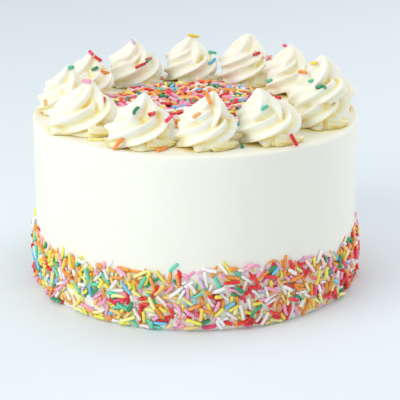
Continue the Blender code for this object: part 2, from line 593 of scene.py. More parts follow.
@dataclass
class FrostedRound:
    """The cake itself: a tall smooth round of buttercream with a crisp top edge."""

    node: str = "cake_body"
    sides: int = 288
    rows: int = 44
    top_rings: int = 30
    edge_radius: float = 0.0022
    edge_steps: int = 5
    fade: float = 0.004
    wave: float = 0.00028
    wave_size: float = 0.034
    top_wave_size: float = 0.022
    scrape: float = 0.00006
    scrape_size: float = 0.0050
    lip: float = 0.00035
    lip_size: float = 0.013
    # From here to the end: painted shade on the frosting, beside the swirls on the top and behind
    # the strand band on the side.
    shade_reach: float = 0.0055
    shade_near: float = 0.44
    shade_touching: float = 0.55
    band_height: float = 0.034
    band_fade: float = 0.006
    shade_behind_band: float = 0.12

    def build(self, material: bpy.types.Material) -> bpy.types.Object:
        """Turn the round, round its top edge and give it a hand-smoothed skin.

        Args:
            material: The smooth frosting.

        Returns:
            The finished piece.
        """
        low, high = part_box(self.node)
        radius = (high.x - low.x) / 2.0
        height = high.z - low.z
        deselect()
        bpy.ops.mesh.primitive_cylinder_add(
            vertices=self.sides, radius=radius, depth=height, end_fill_type="NGON",
            location=(0.0, 0.0, low.z + height / 2.0))
        piece = bpy.context.object
        settle(piece)
        bpy.ops.object.mode_set(mode="EDIT")
        top = high.z - 1e-5
        pick(piece, "EDGE", lambda edge: all(point.co.z > top for point in edge.verts))
        bpy.ops.mesh.bevel(offset=self.edge_radius, segments=self.edge_steps, affect="EDGES")
        pick(piece, "EDGE", lambda edge: abs(edge.verts[0].co.z - edge.verts[1].co.z) > height / 2)
        bpy.ops.mesh.subdivide(number_cuts=self.rows)
        pick(piece, "FACE", lambda face: face.normal.z > 0.99 and len(face.verts) > 4)
        step = (radius - self.edge_radius) / (self.top_rings + 1)
        for _ in range(self.top_rings):
            bpy.ops.mesh.inset(thickness=step, use_even_offset=True)
        bpy.ops.mesh.poke()
        pick(piece, "FACE", lambda face: face.normal.z < -0.99)
        bpy.ops.mesh.poke()
        bpy.ops.object.mode_set(mode="OBJECT")
        self._smooth_by_hand(piece.data, radius, low.z, high.z)
        piece.data.shade_smooth()
        # Painted shade, stored as the hollow value: yellow beside the swirls and behind the band.
        store_number(piece.data, "hollow", self._painted_shade(points_of(piece.data)))
        return finish_piece(piece, "frosted_round", material, [self.node])

    def _painted_shade(self, points: np.ndarray) -> np.ndarray:
        """How much painted shade the frosting gets: beside the swirls on the top, and between the
        strands of the band.

        Args:
            points: The round's points.

        Returns:
            One value for each point.
        """
        close = np.zeros(len(points))
        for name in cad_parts:
            if not name.startswith("rosette"):
                continue
            low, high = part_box(name)
            middle = np.array([(low.x + high.x) / 2.0, (low.y + high.y) / 2.0])
            gap = np.hypot(*(points[:, :2] - middle).T) - (high.x - low.x) / 2.0
            close = np.maximum(close, fading(1.0 - gap / self.shade_reach))
        on_top = points[:, 2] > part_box(self.node)[1].z - 0.0015
        behind_band = fading((self.band_height - points[:, 2]) / self.band_fade)
        return np.where(on_top, self.shade_near * close + self.shade_touching * close ** 3,
                        self.shade_behind_band * behind_band)

    def _smooth_by_hand(self, mesh: bpy.types.Mesh, radius: float, foot: float, top: float) -> None:
        """Give the side long shallow waves and scraper marks, and the top edge a faint lip.

        Args:
            mesh: The round.
            radius: The round's radius.
            foot: The height of its foot.
            top: The height of its top.
        """
        points = points_of(mesh)
        distance = np.hypot(points[:, 0], points[:, 1])
        outwards = points[:, :2] / np.maximum(distance, 1e-6)[:, None]
        near_side = fading((distance - 0.90 * radius) / (0.08 * radius))
        above_foot = fading((points[:, 2] - foot) / self.fade)
        squashed = points * np.array([1.0, 1.0, 0.45])
        upright = points * np.array([1.0, 1.0, 0.06])
        push = self.wave * soft_noise(squashed, self.wave_size, 1.0)
        push += self.scrape * soft_noise(upright, self.scrape_size, 2.0)
        points[:, :2] += outwards * (push * near_side * above_foot)[:, None]
        on_top = fading((points[:, 2] - (top - self.fade)) / self.fade)
        flat = points * np.array([1.0, 1.0, 0.0])
        rise = self.wave * 0.8 * soft_noise(flat, self.top_wave_size, 3.0)
        rise += self.lip * soft_noise(flat, self.lip_size, 4.0) * near_side
        points[:, 2] += rise * on_top
        move_points(mesh, points)


# ------------------------------------------------------------------------------- the piped swirls


@dataclass
class StarTip:
    """The star-shaped opening that the frosting is pressed through."""

    ridges: int = 5
    points_per_ridge: int = 10
    groove: float = 0.47
    crest: float = 0.70

    def opening(self) -> bpy.types.Object:
        """The opening's outline as a closed curve one metre in radius, to sweep along a rope.

        Returns:
            The curve object. It is removed once the last swirl is piped.
        """
        deselect()
        bpy.ops.mesh.primitive_circle_add(vertices=self.ridges * self.points_per_ridge, radius=1.0)
        outline = bpy.context.object
        outline.name = "star_tip_opening"
        for point in outline.data.vertices:
            angle = math.atan2(point.co.y, point.co.x)
            dip = self.groove * abs(math.sin(self.ridges * angle / 2.0)) ** self.crest
            point.co *= 1.0 - dip
        take(outline)
        bpy.ops.object.convert(target="CURVE")
        return bpy.context.object


@dataclass(frozen=True)
class Winding:
    """How every rope is wound: turns counted back from its end, and shares of its own radius."""

    lying: float = 0.78
    climb: float = 1.75
    thinning: float = 0.42
    thinning_turns: float = 1.4
    clear_of_peak: float = 1.47
    ending_turns: float = 0.35
    end_thinning: float = 0.75
    end_drawn_in: float = 0.5
    start_share: float = 0.62
    start_turns: float = 0.07
    unevenness: float = 0.025
    thinnest: float = 0.0010


@dataclass(frozen=True)
class Tail:
    """The thin end that every rope begins with, left lying on the cake."""

    thick: float = 0.0050
    thinning: float = 0.0030
    start_reach: float = 0.90
    lying: float = 0.72
    twist: float = 1.2
    stops: int = 16


@dataclass(frozen=True)
class Sitting:
    """How every swirl sits on the cake: the heights of its lowest coil, and its pressed foot."""

    coil_top: float = 0.014
    width_sides: int = 24
    width_share: float = 0.97
    belly_from: float = 0.0025
    belly_to: float = 0.0060
    foot_sides: int = 90
    foot_share: float = 0.985
    foot_height: float = 0.0045


@dataclass(frozen=True)
class SoftSkin:
    """How the piped frosting sags and dents, and how much painted shade, a yellow tint, it gets in
    each kind of hollow.
    """

    sag_rounds: int = 38
    side_sag: float = 0.85
    tail_sag: float = 0.55
    side_spread: float = 0.12
    dent: float = 0.00028
    dent_size: float = 0.0075
    grain: float = 0.00010
    grain_size: float = 0.0019
    # From here on, the painted shade: how wide the hollows are, and its weight in narrow and wide
    # grooves, less on the soft side where the light falls, at the foot, under the coil, low on the
    # belly and by the tail.
    narrow_rounds: int = 14
    narrow_rise: float = 0.00060
    in_narrow: float = 0.35
    wide_rounds: int = 70
    wide_rise: float = 0.00210
    in_wide: float = 1.75
    less_shade_on_lit_side: float = 0.70
    foot_height: float = 0.0022
    at_foot: float = 0.35
    under_height: float = 0.010
    under_coil: float = 0.7
    on_belly: float = 0.12
    by_tail: float = 0.30
    tail_margin: float = 8.0


WINDING = Winding()
TAIL = Tail()
SITTING = Sitting()
SKIN = SoftSkin()


@dataclass
class PipedSwirl:
    """One swirl: a ridged rope of buttercream wound anticlockwise, pulled up into a ridged peak.

    Its place, width, height and point come from the plain solid that it stands for.
    """

    node: str
    start: float
    tip_turn: float = 0.0
    peak_turn: float = 0.0
    seed: int = 1
    thickness: float = 0.49
    coil_rise: float = 0.0118
    end_share: float = 0.70
    slope: float = 1.20
    blunt: float = 0.7
    ridge_climb: float = 1.15
    curl: float = 0.0
    curl_toward: float = 180.0
    peak_ridges: int = 5
    peak_fill: float = 0.76
    peak_columns: int = 14
    peak_rows: int = 57
    peak_groove: float = 0.42
    peak_twist: float = 85.0
    fullness: float = 1.0
    tail_from: float = -72.0
    tail_to: float = -12.0
    tail_reach: float = 1.05
    soft_side: float = 204.0
    # How strong this swirl's painted shade is.
    shade_strength: float = 1.0
    points_per_turn: int = 48
    voxel: float = 0.00055
    middle: Vector = field(init=False)
    point: Vector = field(init=False)
    radius: float = field(init=False)
    height: float = field(init=False)

    def __post_init__(self) -> None:
        """Read the plain solid's foot, point and width."""
        points = points_of(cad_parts[self.node].data)
        foot = points[points[:, 2] < points[:, 2].min() + LEVEL_FOOT]
        centre = (foot.min(axis=0) + foot.max(axis=0)) / 2.0
        self.middle = Vector(centre)
        self.point = Vector(points[points[:, 2].argmax()])
        self.radius = float(np.hypot(*(foot - centre)[:, :2].T).max()) * 1.11 * self.fullness
        self.height = self.point.z - self.middle.z

    def coils(self) -> float:
        """How many turns the rope makes before it runs into the peak."""
        first = self.thickness * self.radius
        return 0.25 + (self.height * self.end_share - WINDING.lying * first) / self.coil_rise

    def leaned(self, rise: float) -> Vector:
        """How far the swirl leans, and its very peak curls, at a height above its foot.

        Args:
            rise: The height above the foot.

        Returns:
            The offset on the level.
        """
        share = rise / self.height
        toward = math.radians(self.curl_toward)
        curled = self.curl * max(0.0, share) ** 9
        lean = (self.point - self.middle).xy * share ** 2
        return lean + Vector((math.cos(toward), math.sin(toward))) * curled

    def rope_at(self, turn: float) -> tuple[Vector, float]:
        """Where the rope's middle is, and how thick the rope is, after some turns.

        Args:
            turn: Turns since its start.

        Returns:
            The place and the rope's radius.
        """
        coils = self.coils()
        first = self.thickness * self.radius
        used = 1.0 - min(1.0, (coils - turn) / WINDING.thinning_turns)
        sunk = max(0.0, 1.0 - (coils - turn) / WINDING.ending_turns)
        begun = min(1.0, turn / WINDING.start_turns) ** 0.5
        thick = first * (1.0 - WINDING.thinning * used ** 1.5)
        low = WINDING.lying * first
        rise = low + (self.height * self.end_share - low) * (turn / coils) ** WINDING.climb
        room = self.slope * (self.height - rise) - WINDING.clear_of_peak * thick
        ring = min(self.radius - thick, room) * (1.0 - WINDING.end_drawn_in * sunk)
        thick *= (1.0 - WINDING.end_thinning * sunk ** 1.5) * (
            WINDING.start_share + (1.0 - WINDING.start_share) * begun)
        uneven = noise.noise(Vector((turn * 3.1, self.seed, 0.5)))
        thick *= 1.0 + WINDING.unevenness * uneven
        angle = math.radians(self.start) + TAU * turn
        lean = self.leaned(rise)
        spot = Vector((
            self.middle.x + ring * math.cos(angle) + lean.x,
            self.middle.y + ring * math.sin(angle) + lean.y,
            self.middle.z + rise))
        return spot, max(thick, WINDING.thinnest)

    def build(self, opening: bpy.types.Object, material: bpy.types.Material) -> bpy.types.Object:
        """Pipe the swirl.

        Args:
            opening: The star tip's outline.
            material: The piped frosting.

        Returns:
            The finished piece.
        """
        rope = self._pipe_rope(opening)
        tail = self._pipe_tail(opening)
        peak = self._pull_peak()
        take(rope)
        tail.select_set(True)
        peak.select_set(True)
        bpy.ops.object.join()
        apply_modifier(rope, "REMESH", mode="VOXEL", voxel_size=self.voxel,
                       use_smooth_shade=True)
        apply_modifier(rope, "SMOOTH", factor=0.5, iterations=2)
        self._soften(rope.data)
        self._fit_width(rope.data)
        self._let_settle(rope.data)
        # The stored hollow value is painted shade, which the finish turns yellow.
        store_number(rope.data, "hollow", self._hollows(rope.data))
        return finish_piece(rope, self.node.replace("rosette", "piped_swirl"), material,
                            [self.node])

    def _pipe_rope(self, opening: bpy.types.Object) -> bpy.types.Object:
        """Sweep the star along the wound path, with its ridges climbing as it goes.

        Args:
            opening: The star tip's outline.

        Returns:
            The rope as a mesh.
        """
        coils = self.coils()
        turns = np.linspace(0.0, coils, round(coils * self.points_per_turn))
        stops = []
        for turn in turns:
            spot, thick = self.rope_at(float(turn))
            tilt = -TAU * self.ridge_climb * turn - math.radians(self.tip_turn)
            stops.append((spot, thick, tilt))
        return self._sweep(opening, stops)

    def _pipe_tail(self, opening: bpy.types.Object) -> bpy.types.Object:
        """The thin end that the rope began with, left lying on the cake under the first coil.

        Args:
            opening: The star tip's outline.

        Returns:
            The tail as a mesh.
        """
        stops = []
        for share in np.linspace(0.0, 1.0, TAIL.stops):
            angle = math.radians(self.tail_from + (self.tail_to - self.tail_from) * share)
            thick = TAIL.thick - TAIL.thinning * share ** 1.5
            reach = TAIL.start_reach + (self.tail_reach - TAIL.start_reach) * share
            ring = self.radius * reach - thick
            spot = self.middle + Vector((ring * math.cos(angle), ring * math.sin(angle),
                                         TAIL.lying * thick))
            stops.append((spot, thick, TAIL.twist * share))
        return self._sweep(opening, stops)

    def _sweep(self, opening: bpy.types.Object,
               stops: Sequence[tuple[Vector, float, float]]) -> bpy.types.Object:
        """Sweep the star along a path.

        Args:
            opening: The star tip's outline.
            stops: Along the path, each place with the rope's radius and turn there.

        Returns:
            The rope as a mesh.
        """
        path = bpy.data.curves.new(self.node + "_rope", "CURVE")
        path.dimensions = "3D"
        path.twist_mode = "Z_UP"
        path.bevel_mode = "OBJECT"
        path.bevel_object = opening
        path.use_fill_caps = True
        spline = path.splines.new("POLY")
        spline.points.add(len(stops) - 1)
        for point, (spot, thick, tilt) in zip(spline.points, stops):
            point.co = (*spot, 1.0)
            point.radius = thick
            point.tilt = tilt
        take(shown(self.node + "_rope", path))
        bpy.ops.object.convert(target="MESH")
        return bpy.context.object

    def _pull_peak(self) -> bpy.types.Object:
        """The middle of the swirl: a ridged body that fills the coils and ends in the peak.

        Returns:
            The peak as a mesh.
        """
        deselect()
        bpy.ops.mesh.primitive_cylinder_add(
            vertices=self.peak_ridges * self.peak_columns, radius=1.0, depth=1.0,
            end_fill_type="NGON",
            location=(0.0, 0.0, 0.5))
        peak = bpy.context.object
        settle(peak)
        bpy.ops.object.mode_set(mode="EDIT")
        pick(peak, "EDGE", lambda edge: abs(edge.verts[0].co.z - edge.verts[1].co.z) > 0.5)
        bpy.ops.mesh.subdivide(number_cuts=self.peak_rows - 1)
        bpy.ops.object.mode_set(mode="OBJECT")
        points = points_of(peak.data)
        share = points[:, 2]
        angle = np.arctan2(points[:, 1], points[:, 0])
        below = self.height * (1.0 - share) / MM
        wide = MM * self.blunt + MM * self.slope * 0.94 * below ** 0.96
        filled = self.peak_fill * self.radius
        radius = 1.0 / ((1.0 / filled) ** 4 + (1.0 / wide) ** 4) ** 0.25
        radius *= np.clip(below / 1.2, 0.0, 1.0) ** 0.5
        turned = math.radians(self.peak_twist) * (share ** 1.5)
        wave = np.abs(np.sin(self.peak_ridges / 2.0 * (angle - turned)
                             + math.radians(self.peak_turn)))
        radius *= 1.0 - self.peak_groove * wave ** 0.9
        lean = np.array([self.leaned(value) for value in self.height * share])
        points[:, 0] = self.middle.x + lean[:, 0] + radius * np.cos(angle)
        points[:, 1] = self.middle.y + lean[:, 1] + radius * np.sin(angle)
        points[:, 2] = self.middle.z + self.height * share
        move_points(peak.data, points)
        return peak

    def _around(self, points: np.ndarray) -> tuple[np.ndarray, np.ndarray, np.ndarray]:
        """Each point's offset from the swirl's middle on the level, and its length and angle."""
        level = points[:, :2] - np.array(self.middle)[:2]
        return level, np.hypot(level[:, 0], level[:, 1]), np.arctan2(level[:, 1], level[:, 0])

    def _soften(self, mesh: bpy.types.Mesh) -> None:
        """Let the ridges sag on the swirl's soft side, and a little less along its tail.

        Args:
            mesh: The swirl.
        """
        points = points_of(mesh)
        share = np.maximum(SKIN.side_sag * self._softness(points),
                           SKIN.tail_sag * self._near_tail(points))
        move_points(mesh, points + (relaxed(mesh, SKIN.sag_rounds) - points) * share[:, None])

    def _softness(self, points: np.ndarray) -> np.ndarray:
        """How near each point is to the soft side, from 0 to 1."""
        facing = np.cos(self._around(points)[2] - math.radians(self.soft_side))
        return fading(SKIN.side_spread + (1.0 - SKIN.side_spread) * facing)

    def _near_tail(self, points: np.ndarray) -> np.ndarray:
        """1 for the points of the tail, 0 for the others, with a short slope between.

        Args:
            points: The swirl's points.

        Returns:
            One value for each point.
        """
        turned = self._around(points)[2] - math.radians((self.tail_from + self.tail_to) / 2.0)
        aside = np.abs(np.arctan2(np.sin(turned), np.cos(turned)))
        half = math.radians((self.tail_to - self.tail_from) / 2.0 + SKIN.tail_margin)
        height = points[:, 2] - self.middle.z
        return fading((half - aside) / 0.3) * fading(2.4 - height / 0.0035)

    def _fit_width(self, mesh: bpy.types.Mesh) -> None:
        """Widen the swirl evenly until its lowest coil is as wide as it should be.

        Args:
            mesh: The swirl.
        """
        points = points_of(mesh)
        level, reach, angle = self._around(points)
        low = points[:, 2] < self.middle.z + SITTING.coil_top
        sides = SITTING.width_sides
        side = np.floor((angle / TAU + 0.5) * (sides - 0.01)).astype(int)
        widest = np.median([reach[low & (side == index)].max() for index in range(sides)])
        points[:, :2] += level * (self.radius * SITTING.width_share / widest - 1.0)
        move_points(mesh, points)

    def _let_settle(self, mesh: bpy.types.Mesh) -> None:
        """Flatten the foot on the cake, and make the skin as uneven as soft frosting.

        Args:
            mesh: The swirl.
        """
        points = points_of(mesh)
        dents = SKIN.dent * soft_noise(points, SKIN.dent_size, self.seed)
        dents += SKIN.grain * soft_noise(points, SKIN.grain_size, self.seed + 0.5)
        points += normals_of(mesh) * dents[:, None]
        points[:, 2] = np.maximum(points[:, 2], self.middle.z)
        self._spread_foot(points)
        move_points(mesh, points)

    def _spread_foot(self, points: np.ndarray) -> None:
        """Press the lowest skin outwards, so that the swirl sits down on the cake all round.

        Args:
            points: The swirl's points, which are moved.
        """
        level, reach, angle = self._around(points)
        side = ((angle / TAU + 0.5) * (SITTING.foot_sides - 0.01)).astype(int)
        height = points[:, 2] - self.middle.z
        belly = (height > SITTING.belly_from) & (height < SITTING.belly_to)
        widest = np.zeros(SITTING.foot_sides)
        np.maximum.at(widest, side[belly], reach[belly])
        widest = (np.roll(widest, 1) + 2.0 * widest + np.roll(widest, -1)) / 4.0
        target = SITTING.foot_share * widest[side]
        share = fading(1.0 - height / SITTING.foot_height) * (reach > 0.6 * target)
        grown = 1.0 + share * np.maximum(target / np.maximum(reach, 1e-6) - 1.0, 0.0)
        points[:, :2] = np.array(self.middle)[:2] + level * grown[:, None]

    def _hollows(self, mesh: bpy.types.Mesh) -> np.ndarray:
        """How much painted shade each point gets: deep in the grooves, under the coil, by the cake,
        low on the belly or by the tail, less on the lit soft side.

        Args:
            mesh: The swirl.

        Returns:
            One value for each point.
        """
        narrow = hollow_share(mesh, SKIN.narrow_rounds, SKIN.narrow_rise)
        wide = hollow_share(mesh, SKIN.wide_rounds, SKIN.wide_rise)
        points = points_of(mesh)
        height = points[:, 2] - self.middle.z
        under = fading(-normals_of(mesh)[:, 2]) * fading(1.0 - height / SKIN.under_height)
        low = fading(1.0 - height / SKIN.foot_height)
        belly = fading(1.0 - height / (0.7 * self.height))
        # The soft side, where the light falls, gets less painted shade.
        side = 1.0 - SKIN.less_shade_on_lit_side * self._softness(points)
        by_tail = self._near_tail(points) * fading(1.4 - height / 0.0060)
        shares = ((SKIN.in_narrow * narrow + SKIN.in_wide * wide) * side + SKIN.at_foot * low
                  + SKIN.under_coil * under + SKIN.on_belly * belly + SKIN.by_tail * by_tail)
        return np.clip(shares * self.shade_strength, 0.0, 1.2)


# --------------------------------------------------------------------------------- sugar strands


class Tint(Enum):
    """The colours that the strands come in."""

    RED = screen_color(216, 22, 32)
    ORANGE = screen_color(255, 148, 42)
    APRICOT = screen_color(255, 190, 118)
    YELLOW = screen_color(255, 216, 82)
    LEMON = screen_color(255, 234, 150)
    GREEN = screen_color(28, 142, 96)
    JADE = screen_color(94, 200, 170)
    BLUE = screen_color(108, 188, 238)
    PINK = screen_color(255, 160, 190)
    ROSE = screen_color(240, 56, 114)
    BLUSH = screen_color(255, 214, 214)
    WHITE = screen_color(255, 255, 252)
    LILAC = screen_color(214, 192, 238)


LEFT_MIX = {
    Tint.RED: 10, Tint.ORANGE: 18, Tint.APRICOT: 10, Tint.YELLOW: 26, Tint.LEMON: 14,
    Tint.GREEN: 9, Tint.JADE: 9, Tint.BLUE: 7, Tint.PINK: 12, Tint.ROSE: 1, Tint.BLUSH: 6,
    Tint.WHITE: 21, Tint.LILAC: 1,
}
RIGHT_MIX = {
    Tint.RED: 25, Tint.ORANGE: 22, Tint.APRICOT: 11, Tint.YELLOW: 15, Tint.LEMON: 7,
    Tint.GREEN: 7, Tint.JADE: 2, Tint.BLUE: 4, Tint.PINK: 24, Tint.ROSE: 6, Tint.BLUSH: 12,
    Tint.WHITE: 19, Tint.LILAC: 1,
}
HEAP_MIX = {
    Tint.RED: 13, Tint.ORANGE: 14, Tint.APRICOT: 7, Tint.YELLOW: 9, Tint.LEMON: 6,
    Tint.GREEN: 6, Tint.JADE: 3, Tint.BLUE: 5, Tint.PINK: 18, Tint.ROSE: 6, Tint.BLUSH: 9,
    Tint.WHITE: 11, Tint.LILAC: 2,
}


@dataclass
class Strand:
    """One sugar strand in its place: how it lies, which way is away from the frosting, its bend."""

    middle: Vector
    along: Vector
    away: Vector
    length: float
    radius: float
    bend: float
    bend_side: float
    tint: Color


@dataclass
class StrandMould:
    """The one strand that every other is a copy of: a small round stick with rounded ends."""

    length: float = 0.0088
    radius: float = 0.00118
    sides: int = 6
    end_rounding: float = 0.00062

    def shape(self) -> bpy.types.Mesh:
        """Model the strand along X.

        Returns:
            Its mesh.
        """
        deselect()
        bpy.ops.mesh.primitive_cylinder_add(
            vertices=self.sides, radius=self.radius, depth=self.length, end_fill_type="NGON",
            rotation=(0.0, math.pi / 2.0, 0.0))
        stick = bpy.context.object
        settle(stick)
        bpy.ops.object.mode_set(mode="EDIT")
        pick(stick, "EDGE", lambda edge: abs(edge.verts[0].co.x - edge.verts[1].co.x) < 1e-6)
        bpy.ops.mesh.bevel(offset=self.end_rounding, segments=1, affect="EDGES")
        half = self.length / 2.0
        pick(stick, "EDGE", lambda edge: abs(edge.verts[0].co.x - edge.verts[1].co.x) > half)
        bpy.ops.mesh.subdivide(number_cuts=4)
        bpy.ops.object.mode_set(mode="OBJECT")
        mesh = stick.data
        bpy.data.objects.remove(stick)
        return mesh

    def cast(self, name: str, strands: Sequence[Strand], mesh: bpy.types.Mesh) -> bpy.types.Object:
        """Join a copy of the strand for each place into one object.

        Args:
            name: The object's name.
            strands: The strands.
            mesh: The strand's own mesh.

        Returns:
            The object, with each strand's colour stored on its points.
        """
        shape = points_of(mesh)
        corners = np.empty(len(mesh.loops), np.int32)
        mesh.loops.foreach_get("vertex_index", corners)
        starts = np.empty(len(mesh.polygons), np.int32)
        mesh.polygons.foreach_get("loop_start", starts)
        count = len(strands)
        points = np.empty((count, len(shape), 3))
        colours = np.ones((count, len(shape), 4), np.float32)
        for index, strand in enumerate(strands):
            points[index] = self._placed(shape, strand)
            colours[index, :, :3] = strand.tint
        order = np.arange(count)[:, None]
        joined = bpy.data.meshes.new(name)
        joined.vertices.add(count * len(shape))
        joined.loops.add(count * len(corners))
        joined.polygons.add(count * len(starts))
        joined.vertices.foreach_set("co", points.astype(np.float32).ravel())
        joined.loops.foreach_set("vertex_index", (corners + order * len(shape)).ravel())
        joined.polygons.foreach_set("loop_start", (starts + order * len(corners)).ravel())
        joined.update(calc_edges=True)
        joined.validate()
        layer = joined.attributes.new("tint", "FLOAT_COLOR", "POINT")
        layer.data.foreach_set("color", colours.ravel())
        joined.shade_smooth()
        return shown(name, joined)

    def _placed(self, shape: np.ndarray, strand: Strand) -> np.ndarray:
        """The mould's points, stretched, bent and turned to lie as one strand.

        Args:
            shape: The mould's points.
            strand: The strand.

        Returns:
            The strand's points.
        """
        along = strand.along.normalized()
        side = strand.away.cross(along).normalized()
        away = along.cross(side)
        x = shape[:, 0] * strand.length / self.length
        wide = shape[:, 1] * strand.radius / self.radius
        deep = shape[:, 2] * strand.radius / self.radius
        arch = strand.bend * (0.35 - (2.0 * x / strand.length) ** 2)
        wide = wide + arch * math.cos(strand.bend_side)
        deep = deep + arch * max(0.0, math.sin(strand.bend_side)) * 0.6
        return (np.array(strand.middle) + x[:, None] * np.array(along)
                + wide[:, None] * np.array(side) + deep[:, None] * np.array(away))


class Bed:
    """How high the strands lie above a sheet, on a grid of small squares, while a pile grows.

    Each strand is laid as if it were thinner than it is, so that the pile looks pressed, and
    strands that lie on each other overlap a little.
    """

    PITCH = 0.0004
    PRESSED = 0.70

    def __init__(self, width: float, depth: float, base: float, wraps: bool) -> None:
        """Start an empty sheet.

        Args:
            width: Its length along the first axis, in metres.
            depth: Its length along the second axis.
            base: The height that the first strands lie at.
            wraps: Whether the first axis runs round and meets itself.
        """
        self.columns = int(math.ceil(width / self.PITCH))
        self.lines = int(math.ceil(depth / self.PITCH))
        self.wraps = wraps
        self.heights = np.full((self.columns, self.lines), base)

    def cells(self, first: np.ndarray, second: np.ndarray) -> tuple[np.ndarray, np.ndarray]:
        """The squares that hold some spots.

        Args:
            first: The spots along the first axis.
            second: And along the second.

        Returns:
            The columns and the lines of the squares.
        """
        column = np.floor(first / self.PITCH).astype(int)
        line = np.clip(np.floor(second / self.PITCH).astype(int), 0, self.lines - 1)
        if self.wraps:
            return column % self.columns, line
        return np.clip(column, 0, self.columns - 1), line

    def _covered(self, spot: tuple[float, float], heading: float, along: np.ndarray,
                 across: np.ndarray) -> tuple[np.ndarray, np.ndarray]:
        """The squares below a strand, at distances along and across it from its middle.

        Args:
            spot: Where its middle is on the sheet.
            heading: Which way it points.
            along: The distances along it.
            across: The distances across it.

        Returns:
            The columns and the lines of the squares.
        """
        cos, sin = math.cos(heading), math.sin(heading)
        first = spot[0] + along[:, None] * cos - across[None] * sin
        second = spot[1] + along[:, None] * sin + across[None] * cos
        return self.cells(first, second)

    def rest(self, spot: tuple[float, float], heading: float, length: float,
             radius: float) -> tuple[float, float]:
        """How a dropped strand comes to lie: on the two supports either side of its middle.

        Args:
            spot: Where its middle is on the sheet.
            heading: Which way it points on the sheet.
            length: Its length.
            radius: Its radius.

        Returns:
            The height of its middle, and its slope.
        """
        radius = radius * self.PRESSED
        along = np.linspace(-0.44, 0.44, 9) * length
        across = np.array([-0.75, 0.0, 0.75]) * radius
        under = self.heights[self._covered(spot, heading, along, across)]
        need = (under + np.sqrt(radius ** 2 - across ** 2)[None]).max(axis=1)
        left, right = np.meshgrid(np.arange(0, 5), np.arange(4, 9), indexing="ij")
        gap = along[right] - along[left]
        safe = np.where(gap > 0.0, gap, 1.0)
        slope = np.where(gap > 0.0, (need[right] - need[left]) / safe, 0.0)
        middle = need[left] - slope * along[left]
        best = np.unravel_index(middle.argmax(), middle.shape)
        return float(middle[best]), float(slope[best])

    def lay(self, spot: tuple[float, float], heading: float, length: float, radius: float,
            height: float, slope: float) -> None:
        """Raise the sheet where a strand now lies.

        Args:
            spot: Where its middle is on the sheet.
            heading: Which way it points.
            length: Its length.
            radius: Its radius.
            height: The height of its middle.
            slope: How steeply it rises along its heading.
        """
        radius = radius * self.PRESSED
        along = np.linspace(-0.48, 0.48, 27) * length
        across = np.linspace(-0.9, 0.9, 7) * radius
        top = height + slope * along[:, None] + np.sqrt(radius ** 2 - across ** 2)[None]
        np.maximum.at(self.heights, self._covered(spot, heading, along, across), top)


@dataclass
class StrandChooser:
    """Draws strands of random length, thickness, bend and colour. Its mixes are by weight."""

    mixes: tuple[dict[Tint, int], dict[Tint, int]]
    seed: int
    mould: StrandMould
    lightness: tuple[float, float] = (1.07, 1.32)
    lightest: float = 0.985
    broken_share: float = 0.12
    bent_share: float = 0.22
    patch_size: float = 0.012
    patch_strength: float = 4.0
    mixing_width: float = 0.160

    def __post_init__(self) -> None:
        """Start the draw."""
        self.dice = random.Random(self.seed)

    def size(self) -> tuple[float, float]:
        """A length and a radius. About one strand in eight is a broken short one.

        Returns:
            The length and the radius.
        """
        broken = self.dice.random() < self.broken_share
        share = self.dice.uniform(0.45, 0.70) if broken else self.dice.gauss(1.0, 0.13)
        length = self.mould.length * min(1.35, max(0.42, share))
        return length, self.mould.radius * self.dice.uniform(0.90, 1.07)

    def bend(self) -> tuple[float, float]:
        """How far a strand is bent, and to which side. Most are nearly straight.

        Returns:
            The amount in metres, and the side as an angle.
        """
        far = self.dice.random() < self.bent_share
        amount = self.dice.uniform(0.0009, 0.0024) if far else self.dice.uniform(0.0, 0.0005)
        return amount, self.dice.uniform(0.0, TAU)

    def tint(self, spot: Vector) -> Color:
        """A colour for a strand at a spot, a little lighter or darker each time.

        The first mix rules on the left and the second on the right, and each colour is commoner
        in some small patches than in others, as where a pinch of strands was pressed on.

        Args:
            spot: Where the strand lies.

        Returns:
            The colour.
        """
        toward_second = min(1.0, max(0.0, 0.5 + spot.x / self.mixing_width))
        mix = self.mixes[1] if self.dice.random() < toward_second else self.mixes[0]
        weights = []
        for index, weight in enumerate(mix.values()):
            patch = noise.noise(spot / self.patch_size + Vector((index * 17.3, self.seed, 0.0)))
            weights.append(weight * (1.0 + self.patch_strength * max(0.0, patch)))
        name = self.dice.choices(list(mix), weights)[0]
        shade = self.dice.uniform(*self.lightness)
        return tuple(min(self.lightest, part * shade) for part in name.value)

    def strand(self, middle: Vector, along: Vector, away: Vector, length: float,
               radius: float) -> Strand:
        """A strand in its place, with its bend and colour drawn."""
        amount, side = self.bend()
        return Strand(middle, along, away, length, radius, amount, side, self.tint(middle))


